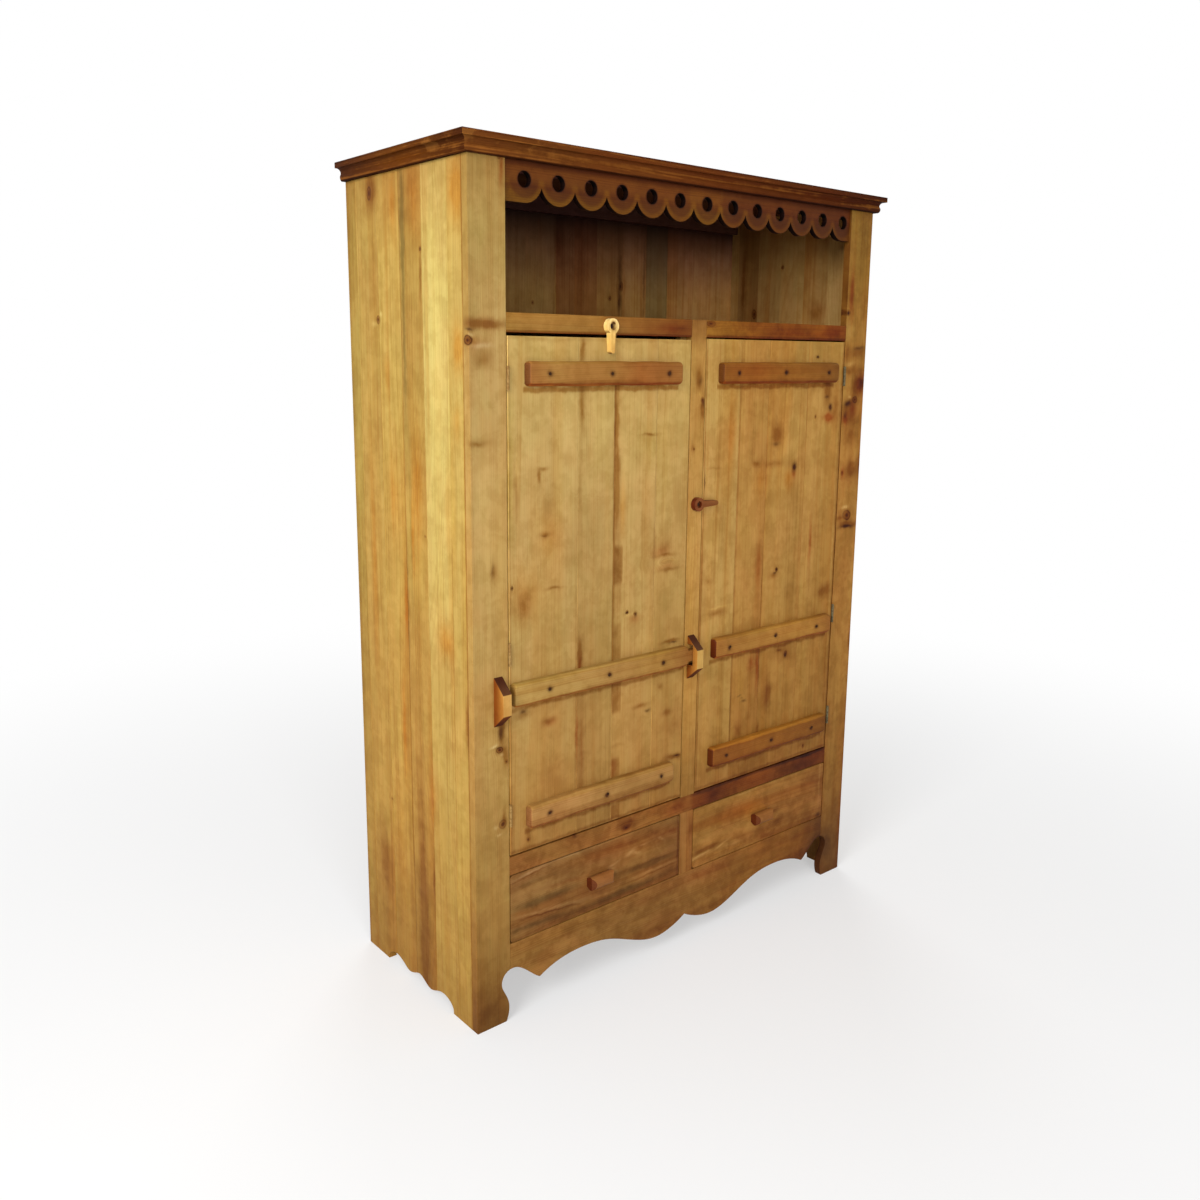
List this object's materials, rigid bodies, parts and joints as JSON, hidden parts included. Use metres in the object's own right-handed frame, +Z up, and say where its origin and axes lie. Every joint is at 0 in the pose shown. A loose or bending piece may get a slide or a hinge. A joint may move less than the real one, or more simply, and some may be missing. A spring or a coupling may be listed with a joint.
{
  "type": "television armoire",
  "caption": "Rustic pine armoire with an open media bay under a pierced, scalloped valance, battened double doors and drawers below.",
  "frame": {"origin": "on the floor, under the centre of the whole piece's bounding box", "axes": "+Z up; +X to the right as seen from the front; +Y from the front to the back, so the front faces -Y"},
  "size_m": [1.322, 0.536, 1.905],
  "materials": {
    "side_pine": "knotty pine, worn, satin varnish, golden",
    "frame_pine": "pine, worn edges, satin varnish",
    "door_pine": "pine boards, worn, satin varnish, browner towards the floor",
    "batten_pine": "pine, reddish brown stain, worn",
    "bracket_pine": "pine, orange-brown stain",
    "crown_pine": "pine, dark brown stain, scuffed",
    "drawer_pine": "pine with wavy grain, brown stain",
    "pull_pine": "pine, brown stain",
    "pale_button": "bare pine, worn smooth",
    "dark_button": "pine, dark reddish stain",
    "inner_pine": "plain pine, unvarnished",
    "back_pine": "thin pine boards, dark and dull",
    "hinge_steel": "dull, aged",
    "nail_steel": "dark, aged",
    "screw_steel": "dull, aged"
  },
  "bodies": {
    "carcass": {"apron": "frame_pine", "back_boards": "back_pine", "back_rail": "inner_pine", "cabinet_floor": "inner_pine", "centre_post": "frame_pine", "crown_front": "crown_pine", "crown_left": "crown_pine", "crown_right": "crown_pine", "door_stop": "inner_pine", "drawer_divider": "frame_pine", "drawer_guides": "inner_pine", "drawer_kickers": "inner_pine", "drawer_runners": "inner_pine", "front_bearer": "inner_pine", "inner_shelf": "inner_pine", "left_frame_hinge_leaves": "hinge_steel", "left_hinge_pins": "hinge_steel", "left_side_boards": "side_pine", "left_stile": "frame_pine", "media_shelf": "inner_pine", "middle_rail": "frame_pine", "right_frame_hinge_leaves": "hinge_steel", "right_hinge_pins": "hinge_steel", "right_side_boards": "side_pine", "right_stile": "frame_pine", "shelf_cleats": "inner_pine", "stile_bracket": "bracket_pine", "top_boards": "side_pine", "top_cleats": "inner_pine", "upper_rail_left": "frame_pine", "upper_rail_right": "frame_pine", "valance_left": "frame_pine", "valance_right": "frame_pine"},
    "left_door": {"left_door_boards": "door_pine", "left_top_batten": "batten_pine", "left_bottom_batten": "batten_pine", "latch_bar": "batten_pine", "post_bracket": "bracket_pine", "left_door_nails": "nail_steel", "left_door_hinge_leaves": "hinge_steel", "left_button_screw": "screw_steel"},
    "right_door": {"right_door_boards": "door_pine", "right_top_batten": "batten_pine", "right_middle_batten": "batten_pine", "right_bottom_batten": "batten_pine", "right_door_nails": "nail_steel", "right_door_hinge_leaves": "hinge_steel", "right_button_screw": "screw_steel"},
    "left_drawer": {"left_drawer_front": "drawer_pine", "left_drawer_sides": "inner_pine", "left_drawer_back": "inner_pine", "left_drawer_bottom": "inner_pine", "left_drawer_pull": "pull_pine"},
    "right_drawer": {"right_drawer_front": "drawer_pine", "right_drawer_sides": "inner_pine", "right_drawer_back": "inner_pine", "right_drawer_bottom": "inner_pine", "right_drawer_pull": "pull_pine"},
    "left_turn_button": {"left_turn_button": "pale_button"},
    "right_turn_button": {"right_turn_button": "dark_button"}
  },
  "joints": [
    {"name": "left_door_hinge", "type": "hinge", "parent": "carcass", "child": "left_door", "pos_m": [-0.5455, -0.2354, 0.96], "axis": [0, 0, -1], "range_deg": [0, 90]},
    {"name": "right_door_hinge", "type": "hinge", "parent": "carcass", "child": "right_door", "pos_m": [0.5455, -0.2354, 0.96], "axis": [0, 0, 1], "range_deg": [0, 110]},
    {"name": "left_drawer_slide", "type": "slide", "parent": "carcass", "child": "left_drawer", "axis": [0, -1, 0], "range_m": [0, 0.33]},
    {"name": "right_drawer_slide", "type": "slide", "parent": "carcass", "child": "right_drawer", "axis": [0, -1, 0], "range_m": [0, 0.33]},
    {"name": "left_button_turn", "type": "hinge", "parent": "left_door", "child": "left_turn_button", "pos_m": [-0.2755, -0.239, 1.551], "axis": [0, 1, 0], "range_deg": [-90, 90]},
    {"name": "right_button_turn", "type": "hinge", "parent": "right_door", "child": "right_turn_button", "pos_m": [0.0025, -0.239, 1.14], "axis": [0, 1, 0], "range_deg": [-90, 90]}
  ]
}
